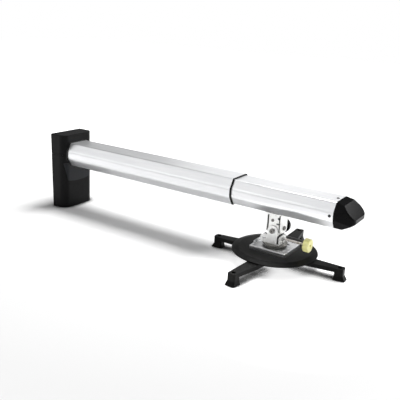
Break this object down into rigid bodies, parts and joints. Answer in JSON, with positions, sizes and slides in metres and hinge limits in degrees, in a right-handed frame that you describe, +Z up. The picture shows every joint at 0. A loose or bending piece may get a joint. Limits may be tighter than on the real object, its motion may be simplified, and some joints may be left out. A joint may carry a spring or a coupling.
{
  "type": "projector wall mount",
  "caption": "Telescoping boom on a covered wall bracket, with a roll, tilt and swivel head that carries a round plate with slotted reach arms for a projector.",
  "frame": {"origin": "on the wall's surface, at the centre of the four wall holes", "axes": "+X out from the wall along the boom, +Z up"},
  "size_m": [0.9323, 0.3832, 0.224],
  "materials": {
    "steel_plate": "black powder coat",
    "zinc_steel": "bright zinc plate",
    "white_tube": "satin silver-white",
    "black_plastic": "fine matte texture",
    "gloss_black": "polished moulding",
    "yellow_plastic": "pale yellow moulding",
    "white_nylon": "natural nylon",
    "black_cast": "matte black coat on a casting",
    "dark_rubber": "soft black"
  },
  "bodies": {
    "wall_bracket": {"wall_plate": "steel_plate", "boom_bracket": "steel_plate", "bracket_screws": "zinc_steel", "boom_bolts": "zinc_steel", "outer_tube": "white_tube", "mouth_bush": "black_plastic", "cover_upper": "black_plastic", "cover_lower": "black_plastic", "cover_screws": "zinc_steel", "tube_collar": "dark_rubber", "front_bib": "black_plastic"},
    "boom": {"inner_tube": "white_tube", "tail_glide": "black_plastic", "end_cap": "gloss_black", "cap_screws": "zinc_steel", "nut_plate": "zinc_steel", "head_screws": "zinc_steel", "yoke": "zinc_steel"},
    "roll_frame": {"cross_block": "zinc_steel", "roll_bolts": "zinc_steel", "roll_spacers": "white_nylon", "tie_bolt": "zinc_steel"},
    "tilt_frame": {"tilt_bracket": "zinc_steel", "tilt_bolt": "zinc_steel", "tilt_washers": "zinc_steel", "cross_pin": "zinc_steel", "swivel_plate": "zinc_steel", "swivel_rivets": "zinc_steel", "swivel_bolt": "zinc_steel", "swivel_nut": "zinc_steel"},
    "tilt_adjuster": {"tilt_rod": "zinc_steel", "rod_collars": "zinc_steel", "tilt_knob": "yellow_plastic"},
    "screw_nut": {"tilt_nut": "zinc_steel"},
    "tilt_clamp": {"lock_knob": "black_plastic", "lock_rim": "zinc_steel"},
    "plate": {"friction_ring": "white_nylon", "slide_tray": "zinc_steel", "tray_spacers": "zinc_steel", "tray_screws": "zinc_steel", "disc": "black_cast"},
    "front_clamp": {"front_arm_screw": "zinc_steel"},
    "front_reach": {"front_arm": "black_cast"},
    "outer_clamp": {"outer_arm_screw": "zinc_steel"},
    "outer_reach": {"outer_arm": "black_cast"},
    "back_clamp": {"back_arm_screw": "zinc_steel"},
    "back_reach": {"back_arm": "black_cast"},
    "wall_clamp": {"wall_arm_screw": "zinc_steel"},
    "wall_reach": {"wall_arm": "black_cast"}
  },
  "joints": [
    {"name": "boom_extend", "type": "slide", "parent": "wall_bracket", "child": "boom", "axis": [1, 0, 0], "range_m": [-0.08, 0.14]},
    {"name": "head_roll", "type": "hinge", "parent": "boom", "child": "roll_frame", "pos_m": [0.73, 0, -0.0195], "axis": [1, 0, 0], "range_deg": [-8, 8]},
    {"name": "head_tilt", "type": "hinge", "parent": "roll_frame", "child": "tilt_frame", "pos_m": [0.73, 0, -0.026], "axis": [0, 1, 0], "range_deg": [-12, 12]},
    {"name": "tilt_knob_turn", "type": "hinge", "parent": "tilt_frame", "child": "tilt_adjuster", "pos_m": [0.73, 0, -0.0475], "axis": [1, 0, 0], "range_deg": [-1640, 1640]},
    {"name": "tilt_nut_slide", "type": "slide", "parent": "tilt_frame", "child": "screw_nut", "axis": [1, 0, 0], "range_m": [-0.0046, 0.0046]},
    {"name": "tilt_clamp_turn", "type": "hinge", "parent": "tilt_frame", "child": "tilt_clamp", "pos_m": [0.73, 0, -0.026], "axis": [0, 1, 0], "range_deg": [0, 360]},
    {"name": "head_swivel", "type": "hinge", "parent": "tilt_frame", "child": "plate", "pos_m": [0.73, 0, -0.06], "axis": [0, 0, 1], "continuous": true},
    {"name": "front_arm_swing", "type": "hinge", "parent": "plate", "child": "front_clamp", "pos_m": [0.73, -0.08, -0.083], "axis": [0, 0, 1], "range_deg": [-12, 12]},
    {"name": "front_arm_slide", "type": "slide", "parent": "front_clamp", "child": "front_reach", "axis": [-0.1219, -0.9925, 0], "range_m": [-0.0213, 0.0287]},
    {"name": "outer_arm_swing", "type": "hinge", "parent": "plate", "child": "outer_clamp", "pos_m": [0.81, 0, -0.083], "axis": [0, 0, 1], "range_deg": [-12, 12]},
    {"name": "outer_arm_slide", "type": "slide", "parent": "outer_clamp", "child": "outer_reach", "axis": [0.9981, 0.061, 0], "range_m": [-0.0131, 0.0369]},
    {"name": "back_arm_swing", "type": "hinge", "parent": "plate", "child": "back_clamp", "pos_m": [0.73, 0.08, -0.083], "axis": [0, 0, 1], "range_deg": [-12, 12]},
    {"name": "back_arm_slide", "type": "slide", "parent": "back_clamp", "child": "back_reach", "axis": [-0.1305, 0.9914, 0], "range_m": [-0.0167, 0.0333]},
    {"name": "wall_arm_swing", "type": "hinge", "parent": "plate", "child": "wall_clamp", "pos_m": [0.65, 0, -0.083], "axis": [0, 0, 1], "range_deg": [-12, 12]},
    {"name": "wall_arm_slide", "type": "slide", "parent": "wall_clamp", "child": "wall_reach", "axis": [-0.9969, -0.0785, 0], "range_m": [-0.002, 0.048]}
  ],
  "couplings": [
    {"joint": "tilt_nut_slide", "follows": "head_tilt", "m_per_rad": 0.0215},
    {"joint": "tilt_knob_turn", "follows": "head_tilt", "ratio": -135.09}
  ]
}
